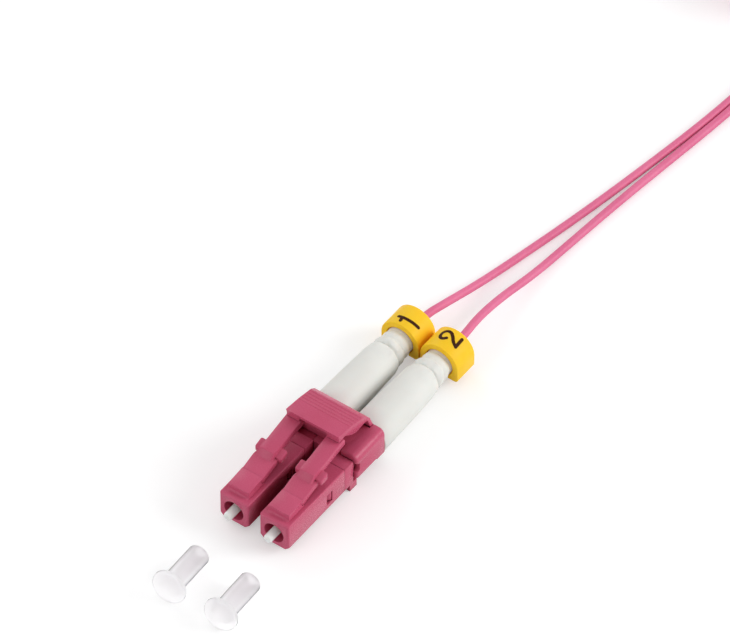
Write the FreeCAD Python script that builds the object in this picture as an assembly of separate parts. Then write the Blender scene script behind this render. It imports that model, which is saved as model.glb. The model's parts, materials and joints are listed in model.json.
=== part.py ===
import FreeCAD, Part
import math
import os

# Duplex LC fibre connector with clip, finger trigger, strain relief boots,
# number rings, a two-leg cord and its two dust caps.
# Millimetres. X runs across the two channels, Y runs back from the plug
# noses to the cord, Z is up. The origin is midway between the two ferrule
# axes, in the plane of the plug noses.

V = FreeCAD.Vector
X_AXIS = V(1, 0, 0)
Y_AXIS = V(0, 1, 0)
Z_AXIS = V(0, 0, 1)

# ---------------------------------------------------------------- sizes
CHANNEL_PITCH = 6.25            # between the two ferrule axes
FLOOR_Z = -2.9                  # the surface the connector lies on
GLUE_GAP = 0.01                 # bonded bores
SLIDE_GAP = 0.06                # radial, between sliding pieces
FLEX_GAP = 0.04                 # at the two kinds of flexing line
SEAT_GAP = 0.05                 # between pieces that are pushed together

# plug housing
PLUG_WIDTH = 4.5
PLUG_TOP = 2.25
PLUG_BOTTOM = -2.2
PLUG_LENGTH = 12.0
PLUG_CORNER_CUT = 0.55
PLUG_TOP_ROUND = 0.2
NOSE_ROUND = 0.3
NOSE_BORE_RADIUS = 1.5
NOSE_BORE_DEPTH = 5.0
SEAT_WALL = 0.6                 # the wall that the ferrule holder rests against
CAVITY_RADIUS = 1.8
WINDOW_FRONT = 8.2
WINDOW_LENGTH = 1.2
WINDOW_HEIGHT = 1.8

# ferrule and its sprung holder
FERRULE_RADIUS = 0.6245
FERRULE_LENGTH = 6.5
FERRULE_PROUD = 1.45
FERRULE_CHAMFER = 0.12
BARREL_RADIUS = 1.0
BARREL_LENGTH = 2.0
FLANGE_RADIUS = 1.7
FLANGE_LENGTH = 1.2
HOLDER_TAIL_RADIUS = 0.75
HOLDER_TAIL_LENGTH = 5.6
SPRING_RADIUS = 1.12            # to the middle of the wire
SPRING_WIRE = 0.34
SPRING_TURNS = 4
RETRACT_TRAVEL = 1.0

# latch lever on top of each plug
LATCH_WIDTH = 3.2
LATCH_FRONT = 1.1
LATCH_FRONT_Z = 3.3
LATCH_ROOT_COVE = 0.35          # hollow at the front of the latch's root
LATCH_FLEX_Y = 4.3
LATCH_FLEX_TOP = 3.54
LATCH_FLEX_RADIUS = 0.52
RAMP_START = (6.3, 4.12)        # (Y, Z) along the top of the lever
RAMP_END = (7.05, 5.05)
LATCH_NECK = (8.75, 5.22)
LATCH_TIP = (13.7, 6.2)
LATCH_TIP_ROUND = 0.5
LEVER_WIDTH = 2.25
LEVER_THICKNESS = 1.25
PLATE_THICKNESS = 1.0           # of the wide plate under the ears
EAR_WIDTH = 4.15
EAR_FRONT = (7.25, 4.3)
EAR_REAR_Z = 4.68
EAR_BOTTOM = 3.55
EAR_ROUND = 0.25

# rear body behind each plug
SHOULDER_LENGTH = 1.85
SHOULDER_EDGE = 0.12
NECK_WIDTH = 4.0
NECK_TOP = 1.95
NECK_BOTTOM = -1.95
REAR_FACE_Y = 20.0
FOOT_FRONT = 13.2
FOOT_LENGTH = 1.45
FOOT_INSET = 0.05
SLEEVE_FRONT = 8.0
SPRING_CHAMBER_RADIUS = 1.4
SPRING_CHAMBER_END = 11.6
TAIL_BORE_END = 14.6
BUFFER_RADIUS = 0.45
STEM_RADIUS = 1.5
STEM_LENGTH = 4.2
TOOTH_LENGTH = 0.85
TOOTH_HEIGHT = 1.4
TOOTH_REACH = 2.12              # from the channel's axis to the tooth's tip
TOOTH_LAND = 0.25

# crimp
YARN_LAYER = 0.1                # the yarn flattened under the crimp
CRIMP_WALL = 0.3
CRIMP_FRONT_LENGTH = 4.6
CRIMP_REAR_LENGTH = 3.6

# boot
BOOT_FRONT_RADIUS = 2.85
BOOT_SHOULDER_RADIUS = 2.5
BOOT_SHOULDER_Y = 32.65
BOOT_SHOULDER_SLOPES = ((-0.85, 0), (-0.3, -0.16), (0, -0.5))    # (Y, radius) from its corner
COLLAR_RADIUS = 2.22            # the stepped collar between shoulder and tail
COLLAR_LENGTH = 1.3
TAIL_RADIUS = 1.98
TAIL_END_Y = 38.6

# number rings
RING_OUTER_RADIUS = 2.95
RING_LENGTH = 3.8
RING_CLEARANCE = 0.1            # round the boot's tail
RING_LEG_BOTTOM = -2.1          # the two legs end here
RING_LEG_ROUND = 0.5
RING_SLOT_WIDTH = 2.7           # the opening that snaps over the tail
RING_EDGE_BEVEL = 0.15
RING_FRONTS = (35.6, 35.45)

# duplex clip
CLIP_FRONT = 13.95
CLIP_REAR = 20.0
CLIP_HALF_WIDTH = 5.9
CLIP_TOP = 3.1
CLIP_BOTTOM = -0.75
CLIP_EDGE_ROUND = 1.0
CLIP_FRONT_ROUND = 0.3
CLIP_REAR_BEVEL = 0.15
CLIP_NOTCH_LENGTH = 0.6
CLIP_NOTCH_BOTTOM = 0.3
CLIP_NOTCH_TOP = 1.9
CLIP_NOTCH_ROUND = 0.45
CLIP_SKIRT_LENGTH = 1.75        # the rear of each side reaches a little lower
CLIP_SKIRT_DROP = 0.25
LATCH_BAY_HALF_WIDTH = 3.4      # the set-back middle, which the latch levers swing down into
LATCH_BAY_LENGTH = 1.05
LATCH_BAY_ROUND = 0.35

# finger trigger hinged on the clip, outline as (Y, Z) in the plane of its side
TRIGGER_HALF_WIDTH = 4.1
TRIGGER_PIVOT = (19.6, 3.05)
TRIGGER_BEAD_RADIUS = 0.3
TRIGGER_TOP = ((12.45, 7.3), (15.1, 6.92), (17.75, 6.3), (18.5, 5.78), (19.15, 4.9))
TRIGGER_UNDER = ((18.72, 4.7), (18.2, 4.92), (17.2, 4.9), (16.3, 4.75), (15.4, 5.1),
                 (13.7, 6.4), (12.6, 6.65))
TRIGGER_EDGE_ROUND = 0.25
TRIGGER_RIDGES = 5
TRIGGER_RIDGE_HEIGHT = 0.1
TRIGGER_RIDGE_PITCH = 0.6
PAD_FRONT = 12.6
PAD_LENGTH = 1.6
PAD_ROOT_Z = 6.8                # inside the trigger's front lip
HINGE_REBATE_FRONT = 19.05

# dust caps, lying in front of the plugs
CAP_HEAD_RADIUS = 2.4
CAP_HEAD_LENGTH = 0.6
CAP_HEAD_BEVEL = 0.2
CAP_TUBE_RADIUS = 1.48
CAP_TUBE_LENGTH = 6.9
CAP_BORE_RADIUS = 0.66
CAP_BORE_DEPTH = 5.2
CAP_MOUTHS = ((-3.07, -7.45), (4.82, -7.26))
CAP_YAW = 5.3                   # degrees, heads turned towards +X

# cord
CORD_RADIUS = 0.55
CORD_SIDES = 12                 # of the free tube's section, near enough to round
CORD_JACKET_FRONT = 25.0        # the jacket ends here, inside the crimp
CORD_START_Y = 34.8
CORD_FLOOR_Z = FLOOR_Z + CORD_RADIUS
COIL_CENTRE = (-1.55, 122.5)
COIL_MEAN_RADIUS = 6.6
COIL_COLUMNS = 6
COIL_ROWS = 7
COIL_PITCH = 1.12               # a cord and a hair's breadth
COIL_LEAD_LENGTH = 6.4          # the last stretch, where the legs lie against the coil
TIE_THICKNESS = 0.3
TIE_WIDTH = 3.0
TIE_GAP = 0.04
COIL_BOTTOM = FLOOR_Z + TIE_THICKNESS + 2 * TIE_GAP
COIL_ROW_1_Z = COIL_BOTTOM + COIL_PITCH / 2

LEG_1_ROUTE = [
    (-3.125, CORD_START_Y, 0), (-3.125, 40.6, 0), (-2.71, 44.6, -0.9), (-1.75, 50.7, -2.0),
    (-0.65, 56.6, CORD_FLOOR_Z), (1.7, 68.0, CORD_FLOOR_Z), (3.85, 80.8, CORD_FLOOR_Z),
    (5.7, 93.9, CORD_FLOOR_Z), (6.73, 106.0, COIL_ROW_1_Z), (6.73, 116.1, COIL_ROW_1_Z),
]
LEG_2_ROUTE = [
    (3.125, CORD_START_Y, 0), (3.125, 40.2, 0), (2.55, 44.8, -0.25), (2.5, 50.2, -1.1),
    (3.05, 56.3, -2.05), (3.5, 63.0, CORD_FLOOR_Z), (4.25, 71.5, CORD_FLOOR_Z),
    (5.2, 80.2, CORD_FLOOR_Z), (6.86, 93.9, CORD_FLOOR_Z), (7.85, 106.0, COIL_ROW_1_Z),
    (7.85, 116.1, COIL_ROW_1_Z),
]

# ------------------------------------------------- sizes that follow
CHANNEL_X = {1: -CHANNEL_PITCH / 2, 2: CHANNEL_PITCH / 2}
SEAT_REAR = NOSE_BORE_DEPTH + SEAT_WALL
FERRULE_REAR = FERRULE_LENGTH - FERRULE_PROUD
FLANGE_REAR = SEAT_REAR + FLANGE_LENGTH
SHOULDER_REAR = PLUG_LENGTH + SHOULDER_LENGTH
LATCH_FLEX_Z = LATCH_FLEX_TOP - LATCH_FLEX_RADIUS
SLEEVE_RADIUS = CAVITY_RADIUS - SEAT_GAP
STEM_END = REAR_FACE_Y + STEM_LENGTH
CRIMP_BORE = STEM_RADIUS + YARN_LAYER
CRIMP_STEP_Y = REAR_FACE_Y + SEAT_GAP + CRIMP_FRONT_LENGTH
CRIMP_END_Y = CRIMP_STEP_Y + CRIMP_REAR_LENGTH
RING_BORE_RADIUS = TAIL_RADIUS + RING_CLEARANCE
PAST = 1.0                      # how far a cutting tool runs past what it cuts
OVERLAP = 0.3                   # how far the pieces of one solid run into each other
SAME_PLACE = 1e-4
SAME_DIRECTION = math.radians(2.5)
CORD_ARC_SHARE = 0.45           # of the shorter run beside it that each arc takes


# ------------------------------------------------------------- helpers
def box(x0, x1, y0, y1, z0, z1):
    return Part.makeBox(x1 - x0, y1 - y0, z1 - z0, V(x0, y0, z0))


def rod(radius, y0, y1):
    """A round bar along Y on the channel's axis."""
    return Part.makeCylinder(radius, y1 - y0, V(0, y0, 0), Y_AXIS)


def pin(radius, half_width, y, z):
    """A round bar across X."""
    return Part.makeCylinder(radius, 2 * half_width, V(-half_width, y, z), X_AXIS)


def face_from(points):
    corners = [V(*p) for p in points]
    return Part.Face(Part.makePolygon(corners + [corners[0]]))


def side_profile(points, half_width, x=0.0):
    """Extrude a (y, z) outline across X."""
    face = face_from([(x - half_width, y, z) for y, z in points])
    return face.extrude(V(2 * half_width, 0, 0))


def cross_profile(points, y0, y1):
    """Extrude an (x, z) outline along Y."""
    face = face_from([(x, y0, z) for x, z in points])
    return face.extrude(V(0, y1 - y0, 0))


def turned(points):
    """Revolve a (y, radius) outline about the channel's axis."""
    face = face_from([(r, y, 0) for y, r in points])
    return face.revolve(V(0, 0, 0), Y_AXIS, 360)


def fused(shapes):
    return shapes[0].fuse(shapes[1:]).removeSplitter()


def rounded(shape, radius, wanted):
    """Fillet the edges for which wanted(edge) is true."""
    return shape.makeFillet(radius, [edge for edge in shape.Edges if wanted(edge)])


def bevelled(shape, depth, wanted):
    """Chamfer the edges for which wanted(edge) is true."""
    return shape.makeChamfer(depth, [edge for edge in shape.Edges if wanted(edge)])


def runs_along(edge, axis):
    if edge.Curve.TypeId != "Part::GeomLine":
        return False
    tangent = edge.tangentAt(edge.FirstParameter)
    return min(tangent.getAngle(axis), tangent.getAngle(-axis)) < SAME_DIRECTION


def near(value, target):
    return abs(value - target) < SAME_PLACE


def save(shape, node):
    if len(shape.Solids) != 1 or not shape.isValid():
        raise ValueError(node + " is not one valid solid")
    shape.Solids[0].exportStep("parts/" + node + ".step")


# --------------------------------------------------------------- plug
def plug_section(y0, y1, half_width, top, bottom):
    """A bar with its two lower corners cut, as the plug and its rear body are."""
    cut = PLUG_CORNER_CUT
    return cross_profile(
        [(-half_width, bottom + cut), (-half_width + cut, bottom),
         (half_width - cut, bottom), (half_width, bottom + cut),
         (half_width, top), (-half_width, top)], y0, y1)


def latch_root():
    """The raised block that the latch lever flexes from."""
    cove = LATCH_ROOT_COVE
    base = PLUG_TOP - OVERLAP
    block = side_profile(
        [(LATCH_FRONT, base), (LATCH_FRONT, LATCH_FRONT_Z), (LATCH_FLEX_Y, LATCH_FLEX_TOP),
         (LATCH_FLEX_Y, base)], LATCH_WIDTH / 2)
    riser = side_profile(
        [(LATCH_FRONT, base), (LATCH_FRONT - cove, base), (LATCH_FRONT - cove, PLUG_TOP),
         (LATCH_FRONT, PLUG_TOP + cove)], LATCH_WIDTH / 2)
    riser = riser.cut(pin(cove, LATCH_WIDTH, LATCH_FRONT - cove, PLUG_TOP + cove))
    socket = pin(LATCH_FLEX_RADIUS + FLEX_GAP, LATCH_WIDTH, LATCH_FLEX_Y, LATCH_FLEX_Z)
    return fused([block, riser]).cut(socket)


def plug_housing():
    half = PLUG_WIDTH / 2
    body = plug_section(0, PLUG_LENGTH, half, PLUG_TOP, PLUG_BOTTOM)
    body = rounded(body, PLUG_TOP_ROUND, lambda e: runs_along(e, Y_AXIS) and near(e.CenterOfMass.z, PLUG_TOP))
    body = rounded(body, NOSE_ROUND, lambda e: near(e.BoundBox.YMax, 0))
    body = fused([body, latch_root()])
    seat_bore = BARREL_RADIUS + SLIDE_GAP
    hollow = turned(
        [(-PAST, 0), (-PAST, NOSE_BORE_RADIUS), (NOSE_BORE_DEPTH, NOSE_BORE_RADIUS),
         (NOSE_BORE_DEPTH, seat_bore), (SEAT_REAR, seat_bore), (SEAT_REAR, CAVITY_RADIUS),
         (PLUG_LENGTH + PAST, CAVITY_RADIUS), (PLUG_LENGTH + PAST, 0)])
    window = box(-half - PAST, half + PAST, WINDOW_FRONT, WINDOW_FRONT + WINDOW_LENGTH,
                 -WINDOW_HEIGHT / 2, WINDOW_HEIGHT / 2)
    return body.cut(fused([hollow, window]))


# -------------------------------------------------------------- latch
def latch_lever():
    """The sprung arm: a wide root plate, two ears and a narrower finger lever."""
    ramp_y = RAMP_START[0]
    neck_y, neck_z = LATCH_NECK
    tip_y, tip_z = LATCH_TIP
    root_bottom = LATCH_FLEX_Z - LATCH_FLEX_RADIUS
    plate = side_profile(
        [(LATCH_FLEX_Y, root_bottom), (LATCH_FLEX_Y, LATCH_FLEX_TOP), RAMP_START,
         (neck_y, EAR_BOTTOM + OVERLAP), (neck_y, EAR_BOTTOM),
         (ramp_y, RAMP_START[1] - PLATE_THICKNESS)], LATCH_WIDTH / 2)
    bead = pin(LATCH_FLEX_RADIUS, LATCH_WIDTH / 2, LATCH_FLEX_Y, LATCH_FLEX_Z)
    spine = side_profile(
        [RAMP_START, RAMP_END, LATCH_NECK, LATCH_TIP, (tip_y, tip_z - LEVER_THICKNESS),
         (neck_y, neck_z - LEVER_THICKNESS), (neck_y, EAR_BOTTOM), (ramp_y, EAR_BOTTOM)],
        LEVER_WIDTH / 2)
    spine = rounded(spine, LATCH_TIP_ROUND,
                    lambda e: near(e.CenterOfMass.y, tip_y) and near(e.CenterOfMass.z, tip_z))
    ears = side_profile(
        [EAR_FRONT, (neck_y, EAR_REAR_Z), (neck_y, EAR_BOTTOM), (EAR_FRONT[0], EAR_BOTTOM)],
        EAR_WIDTH / 2)
    ears = rounded(ears, EAR_ROUND, lambda e: runs_along(e, Z_AXIS))
    return fused([plate, bead, spine, ears])


# -------------------------------------------------- ferrule and spring
def ferrule():
    nose = -FERRULE_PROUD
    chamfer = FERRULE_CHAMFER
    return turned(
        [(nose, 0), (nose, FERRULE_RADIUS - chamfer), (nose + 2 * chamfer, FERRULE_RADIUS),
         (FERRULE_REAR, FERRULE_RADIUS), (FERRULE_REAR, 0)])


def hexagon(radius, y0, y1):
    corners = [math.radians(60 * k) for k in range(6)]
    return cross_profile([(radius * math.cos(a), radius * math.sin(a)) for a in corners], y0, y1)


def ferrule_holder():
    front = SEAT_REAR - BARREL_LENGTH
    tail_end = FLANGE_REAR + HOLDER_TAIL_LENGTH
    body = fused([
        rod(BARREL_RADIUS, front, FLANGE_REAR),
        rod(HOLDER_TAIL_RADIUS, SEAT_REAR, tail_end),
        hexagon(FLANGE_RADIUS, SEAT_REAR, FLANGE_REAR),
    ])
    bore = fused([
        rod(FERRULE_RADIUS + GLUE_GAP, front - PAST, FERRULE_REAR + GLUE_GAP),
        rod(BUFFER_RADIUS + GLUE_GAP, FERRULE_REAR, tail_end + PAST),
    ])
    return body.cut(bore)


def ferrule_spring():
    """The coil spring behind the ferrule, in square wire set on its corner."""
    wire = SPRING_WIRE / 2
    start = FLANGE_REAR + wire + SEAT_GAP
    end = SPRING_CHAMBER_END - wire - SEAT_GAP
    helix = Part.makeHelix((end - start) / SPRING_TURNS, end - start, SPRING_RADIUS)
    corners = [V(SPRING_RADIUS + x, 0, z) for x, z in ((wire, 0), (0, wire), (-wire, 0), (0, -wire))]
    section = Part.makePolygon(corners + [corners[0]])
    coil = Part.Wire(helix).makePipeShell([section], True, True)
    coil.rotate(V(0, 0, 0), X_AXIS, -90)
    coil.translate(V(0, start, 0))
    return coil


def fibre_buffer():
    end = STEM_END - RETRACT_TRAVEL - GLUE_GAP
    return rod(BUFFER_RADIUS, FERRULE_REAR + GLUE_GAP, end)


# ---------------------------------------------------------- rear body
def rear_body():
    half = PLUG_WIDTH / 2
    shoulder = plug_section(PLUG_LENGTH, SHOULDER_REAR, half, PLUG_TOP, PLUG_BOTTOM)
    shoulder = bevelled(shoulder, SHOULDER_EDGE, lambda e: near(e.BoundBox.YMax, PLUG_LENGTH))
    neck = plug_section(SHOULDER_REAR - OVERLAP, REAR_FACE_Y, NECK_WIDTH / 2, NECK_TOP, NECK_BOTTOM)
    foot = box(-half + FOOT_INSET, half - FOOT_INSET, FOOT_FRONT, FOOT_FRONT + FOOT_LENGTH,
               FLOOR_Z, NECK_BOTTOM + OVERLAP)
    sleeve = rod(SLEEVE_RADIUS, SLEEVE_FRONT, PLUG_LENGTH + OVERLAP)
    stem = rod(STEM_RADIUS, REAR_FACE_Y - OVERLAP, STEM_END)
    body = fused([shoulder, neck, foot, sleeve, stem] + snap_teeth())
    tail_bore = HOLDER_TAIL_RADIUS + SLIDE_GAP
    buffer_bore = BUFFER_RADIUS + SLIDE_GAP
    hollow = turned(
        [(SLEEVE_FRONT - PAST, 0), (SLEEVE_FRONT - PAST, SPRING_CHAMBER_RADIUS),
         (SPRING_CHAMBER_END, SPRING_CHAMBER_RADIUS), (SPRING_CHAMBER_END, tail_bore),
         (TAIL_BORE_END, tail_bore), (TAIL_BORE_END, buffer_bore),
         (STEM_END + PAST, buffer_bore), (STEM_END + PAST, 0)])
    return body.cut(hollow)


def snap_teeth():
    """Ramped catches that click into the housing's side windows."""
    rear = WINDOW_FRONT + WINDOW_LENGTH - SEAT_GAP
    front = rear - TOOTH_LENGTH
    z0 = -TOOTH_HEIGHT / 2
    inner = SLEEVE_RADIUS - OVERLAP
    teeth = []
    for side in (-1, 1):
        face = face_from([
            (side * inner, front, z0), (side * SLEEVE_RADIUS, front, z0),
            (side * TOOTH_REACH, rear - TOOTH_LAND, z0), (side * TOOTH_REACH, rear, z0),
            (side * inner, rear, z0)])
        teeth.append(face.extrude(V(0, 0, TOOTH_HEIGHT)))
    return teeth


# -------------------------------------------------------------- crimp
def crimp_sleeve():
    """A stepped tube: wide over the stem, narrow over the cord's jacket."""
    front = REAR_FACE_Y + SEAT_GAP
    cord_bore = CORD_RADIUS + GLUE_GAP
    return turned(
        [(front, CRIMP_BORE), (front, CRIMP_BORE + CRIMP_WALL),
         (CRIMP_STEP_Y, CRIMP_BORE + CRIMP_WALL), (CRIMP_STEP_Y, cord_bore + CRIMP_WALL),
         (CRIMP_END_Y, cord_bore + CRIMP_WALL), (CRIMP_END_Y, cord_bore),
         (CRIMP_STEP_Y - CRIMP_WALL, cord_bore), (CRIMP_STEP_Y - CRIMP_WALL, CRIMP_BORE)])


# --------------------------------------------------------------- boot
def boot():
    slopes = [(BOOT_SHOULDER_Y + dy, BOOT_SHOULDER_RADIUS + dr) for dy, dr in BOOT_SHOULDER_SLOPES]
    sheath = turned(
        [(REAR_FACE_Y, 0), (REAR_FACE_Y, BOOT_FRONT_RADIUS)] + slopes + [(BOOT_SHOULDER_Y, 0)])
    collar = rod(COLLAR_RADIUS, BOOT_SHOULDER_Y - OVERLAP, BOOT_SHOULDER_Y + COLLAR_LENGTH)
    tail = rod(TAIL_RADIUS, BOOT_SHOULDER_Y, TAIL_END_Y)
    outer = fused([sheath, collar, tail])
    wide = CRIMP_BORE + CRIMP_WALL + SEAT_GAP
    slim = CORD_RADIUS + GLUE_GAP + CRIMP_WALL + SEAT_GAP
    cord_bore = CORD_RADIUS + SEAT_GAP
    step_y = CRIMP_STEP_Y + SEAT_GAP
    crimp_end = CRIMP_END_Y + SEAT_GAP
    hollow = turned(
        [(REAR_FACE_Y - PAST, 0), (REAR_FACE_Y - PAST, wide), (step_y, wide), (step_y, slim),
         (crimp_end, slim), (crimp_end, cord_bore), (TAIL_END_Y + PAST, cord_bore),
         (TAIL_END_Y + PAST, 0)])
    return outer.cut(hollow)


def marker_ring(front):
    """A number ring: an arch with two legs that snaps over the boot's tail from above."""
    end = front + RING_LENGTH
    radius = RING_OUTER_RADIUS
    legs = box(-radius, radius, front, end, RING_LEG_BOTTOM, 0)
    legs = rounded(legs, RING_LEG_ROUND,
                   lambda e: runs_along(e, Y_AXIS) and near(e.CenterOfMass.z, RING_LEG_BOTTOM))
    arch = fused([rod(radius, front, end).cut(box(-radius, radius, front, end, -radius, 0)), legs])
    arch = bevelled(arch, RING_EDGE_BEVEL,
                    lambda e: near(e.BoundBox.YMax, front) or near(e.BoundBox.YMin, end))
    bore = rod(RING_BORE_RADIUS, front - PAST, end + PAST)
    slot = box(-RING_SLOT_WIDTH / 2, RING_SLOT_WIDTH / 2, front - PAST, end + PAST, -radius - PAST, 0)
    return arch.cut(fused([bore, slot]))


# ------------------------------------------------------- duplex clip
def clip_block():
    """The clip's outside: rounded along the top, with a slightly deeper skirt at the rear."""
    half = CLIP_HALF_WIDTH
    block = fused([
        box(-half, half, CLIP_FRONT, CLIP_REAR, CLIP_BOTTOM, CLIP_TOP),
        box(-half, half, CLIP_REAR - CLIP_SKIRT_LENGTH, CLIP_REAR,
            CLIP_BOTTOM - CLIP_SKIRT_DROP, CLIP_TOP),
    ])
    block = rounded(block, CLIP_EDGE_ROUND,
                    lambda e: runs_along(e, Y_AXIS) and near(e.CenterOfMass.z, CLIP_TOP))
    block = rounded(block, CLIP_FRONT_ROUND,
                    lambda e: (near(e.BoundBox.YMax, CLIP_FRONT)
                               and not near(e.CenterOfMass.z, CLIP_BOTTOM)))
    return bevelled(block, CLIP_REAR_BEVEL, lambda e: near(e.BoundBox.YMin, CLIP_REAR))


def latch_bay():
    """The set-back front between the side walls, with its upper edge rounded over."""
    half = LATCH_BAY_HALF_WIDTH
    rear = CLIP_FRONT + LATCH_BAY_LENGTH
    r = LATCH_BAY_ROUND
    bay = box(-half, half, CLIP_FRONT - PAST, rear, NECK_TOP, CLIP_TOP + PAST)
    corner = box(-half, half, rear, rear + r, CLIP_TOP - r, CLIP_TOP + PAST)
    return fused([bay, corner.cut(pin(r, half, rear + r, CLIP_TOP - r))])


def duplex_clip():
    saddle = NECK_WIDTH / 2 + SEAT_GAP
    cuts = [latch_bay()]
    for x in CHANNEL_X.values():
        cuts.append(box(x - saddle, x + saddle, CLIP_FRONT - PAST, CLIP_REAR + PAST,
                        CLIP_BOTTOM - PAST, NECK_TOP + SEAT_GAP))
    wall = CLIP_HALF_WIDTH - CHANNEL_X[2] - saddle
    notch_rear = CLIP_FRONT + CLIP_NOTCH_LENGTH
    for side in (-1, 1):
        x0, x1 = sorted((side * (CLIP_HALF_WIDTH - wall - OVERLAP), side * (CLIP_HALF_WIDTH + PAST)))
        notch = box(x0, x1, CLIP_FRONT - PAST, notch_rear, CLIP_NOTCH_BOTTOM, CLIP_NOTCH_TOP)
        cuts.append(rounded(notch, CLIP_NOTCH_ROUND,
                            lambda e: runs_along(e, X_AXIS) and near(e.CenterOfMass.y, notch_rear)))
    rebate_half = TRIGGER_HALF_WIDTH + SEAT_GAP
    rebate_bottom = TRIGGER_PIVOT[1] - TRIGGER_BEAD_RADIUS - FLEX_GAP
    cuts.append(box(-rebate_half, rebate_half, HINGE_REBATE_FRONT, CLIP_REAR + PAST,
                    rebate_bottom, CLIP_TOP + PAST))
    return clip_block().cut(fused(cuts))


# ----------------------------------------------------- finger trigger
def clip_trigger():
    """The finger trigger: an arched plate, hooked down to its flexing line at the rear."""
    pivot_y, pivot_z = TRIGGER_PIVOT
    radius = TRIGGER_BEAD_RADIUS
    outline = list(TRIGGER_TOP)
    outline += [(pivot_y + radius, pivot_z), (pivot_y - radius, pivot_z)] + list(TRIGGER_UNDER)
    plate = side_profile(outline, TRIGGER_HALF_WIDTH)
    crest = TRIGGER_TOP[2:4]
    plate = rounded(plate, TRIGGER_EDGE_ROUND, lambda e: runs_along(e, X_AXIS) and any(
        near(e.CenterOfMass.y, y) and near(e.CenterOfMass.z, z) for y, z in crest))
    bead = pin(radius, TRIGGER_HALF_WIDTH, pivot_y, pivot_z)
    return fused([plate, bead] + trigger_pads() + trigger_ridges())


def trigger_ridges():
    """Fine grip ridges across the rear half of the trigger's top."""
    start = V(0, *TRIGGER_TOP[1])
    along = (V(0, *TRIGGER_TOP[2]) - start).normalize()
    up = X_AXIS.cross(along)
    half = TRIGGER_RIDGE_PITCH / 3
    ridges = []
    for k in range(TRIGGER_RIDGES):
        crest = start + along * (TRIGGER_RIDGE_PITCH * k)
        corners = [crest - along * half - up * TRIGGER_RIDGE_HEIGHT, crest + up * TRIGGER_RIDGE_HEIGHT,
                   crest + along * half - up * TRIGGER_RIDGE_HEIGHT]
        ridges.append(side_profile([(c.y, c.z) for c in corners], TRIGGER_HALF_WIDTH - TRIGGER_RIDGE_HEIGHT))
    return ridges


def latch_top_at(y):
    """Height of the latch lever's top behind its neck."""
    (neck_y, neck_z), (tip_y, tip_z) = LATCH_NECK, LATCH_TIP
    return neck_z + (tip_z - neck_z) * (y - neck_y) / (tip_y - neck_y)


def trigger_pads():
    """Two pads under the front lip, one over each latch lever."""
    rear = PAD_FRONT + PAD_LENGTH
    outline = [
        (PAD_FRONT, PAD_ROOT_Z), (PAD_FRONT, latch_top_at(PAD_FRONT) + SEAT_GAP),
        (rear, latch_top_at(rear) + SEAT_GAP), (rear, PAD_ROOT_Z)]
    half = TRIGGER_HALF_WIDTH - CHANNEL_X[2]
    return [side_profile(outline, half, x) for x in CHANNEL_X.values()]


# ---------------------------------------------------------- dust caps
def dust_cap(mouth):
    length = CAP_TUBE_LENGTH
    end = length + CAP_HEAD_LENGTH
    cap = turned(
        [(0, CAP_BORE_RADIUS), (0, CAP_TUBE_RADIUS), (-length, CAP_TUBE_RADIUS),
         (-length, CAP_HEAD_RADIUS), (-end + CAP_HEAD_BEVEL, CAP_HEAD_RADIUS),
         (-end, CAP_HEAD_RADIUS - CAP_HEAD_BEVEL), (-end, 0),
         (-CAP_BORE_DEPTH, 0), (-CAP_BORE_DEPTH, CAP_BORE_RADIUS)])
    tilt = math.atan2(CAP_HEAD_RADIUS - CAP_TUBE_RADIUS, length)
    cap.rotate(V(0, 0, 0), X_AXIS, -math.degrees(tilt))
    cap.rotate(V(0, 0, 0), Z_AXIS, CAP_YAW)
    cap.translate(V(mouth[0], mouth[1], FLOOR_Z + CAP_TUBE_RADIUS * math.cos(tilt)))
    return cap


# --------------------------------------------------------------- cord
def cord_end():
    """The straight end of a leg, held in the crimp and the boot."""
    return rod(CORD_RADIUS, CORD_JACKET_FRONT, CORD_START_Y)


def cord_tube(route):
    """Straight runs joined by tangent arcs, each as large as its runs allow."""
    points = [V(*p) for p in route]
    edges = []
    start = points[0]
    radii = []
    for before, corner, after in zip(points, points[1:], points[2:]):
        back = before - corner
        ahead = after - corner
        reach = CORD_ARC_SHARE * min(back.Length, ahead.Length)
        back.normalize()
        ahead.normalize()
        turn = math.pi - back.getAngle(ahead)
        radii.append(reach / math.tan(turn / 2))
        arc_start = corner + back * reach
        arc_end = corner + ahead * reach
        middle = (back + ahead).normalize()
        to_centre = math.hypot(radii[-1], reach)
        arc_middle = corner + middle * (to_centre - radii[-1])
        edges.append(Part.LineSegment(start, arc_start).toShape())
        edges.append(Part.Arc(arc_start, arc_middle, arc_end).toShape())
        start = arc_end
    edges.append(Part.LineSegment(start, points[-1]).toShape())
    path = Part.Wire(edges)
    corners = []
    for k in range(CORD_SIDES):
        angle = 2 * math.pi * k / CORD_SIDES
        corners.append(points[0] + V(math.cos(angle), 0, math.sin(angle)) * CORD_RADIUS)
    section = Part.makePolygon(corners + [corners[0]])
    tube = path.makePipeShell([section], True, False)
    section_area = Part.Face(section).Area
    print("route length %.1f, smallest radius %.1f" % (path.Length, min(radii)))
    print("volume over section times length %.4f" % (tube.Volume / (path.Length * section_area)))
    return tube


def cord_coil():
    """The outer shape of the coil, with the stretch where the two legs run into it."""
    x, y = COIL_CENTRE
    half_width = COIL_COLUMNS * COIL_PITCH / 2
    height = COIL_ROWS * COIL_PITCH
    outer = COIL_MEAN_RADIUS + half_width
    centre = V(x, y, COIL_BOTTOM)
    ring = Part.makeCylinder(outer, height, centre, Z_AXIS).cut(
        Part.makeCylinder(COIL_MEAN_RADIUS - half_width, height, centre, Z_AXIS))
    lead = box(x + outer - 2 * COIL_PITCH, x + outer, y - COIL_LEAD_LENGTH, y,
               COIL_BOTTOM, COIL_BOTTOM + COIL_PITCH)
    return fused([ring, lead])


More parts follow.
